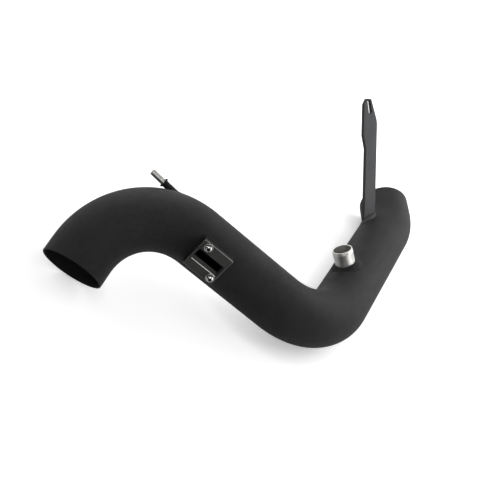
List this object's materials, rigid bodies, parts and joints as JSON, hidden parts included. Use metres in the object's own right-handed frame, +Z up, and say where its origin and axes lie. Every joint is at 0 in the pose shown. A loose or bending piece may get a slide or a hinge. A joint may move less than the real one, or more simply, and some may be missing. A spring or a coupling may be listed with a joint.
{
  "type": "cold air intake pipe",
  "caption": "Black powder coated metal cold air intake pipe in one mandrel-bent run, with an air flow sensor flange, a breather port, a vacuum nipple and a welded support strip.",
  "frame": {"origin": "centre of the inlet mouth, in the plane of its cut end", "axes": "+Z is up from the floor on which the pipe lies at rest, on its inlet rim, second bend and outlet rim; +X runs level from the inlet's contact spot to the outlet's; +Y is level and completes the right hand"},
  "size_m": [0.6587, 0.3115, 0.168],
  "materials": {
    "powder_coat": "fine wrinkle black powder coat on aluminium tube, satin",
    "flange_coat": "thinner, smoother black coat on the machined flange",
    "bracket_coat": "satin black coat on flat strip",
    "fastener_steel": "bare stainless steel",
    "bare_aluminium": "bare turned aluminium"
  },
  "bodies": {
    "root": {"intake_tube": "powder_coat", "sensor_flange": "flange_coat", "sensor_screw_1": "fastener_steel", "sensor_screw_2": "fastener_steel", "sensor_washer_1": "fastener_steel", "sensor_washer_2": "fastener_steel", "breather_collar": "powder_coat", "breather_port": "bare_aluminium", "vacuum_boss": "powder_coat", "vacuum_nipple": "bare_aluminium", "support_bracket": "bracket_coat"}
  },
  "joints": []
}
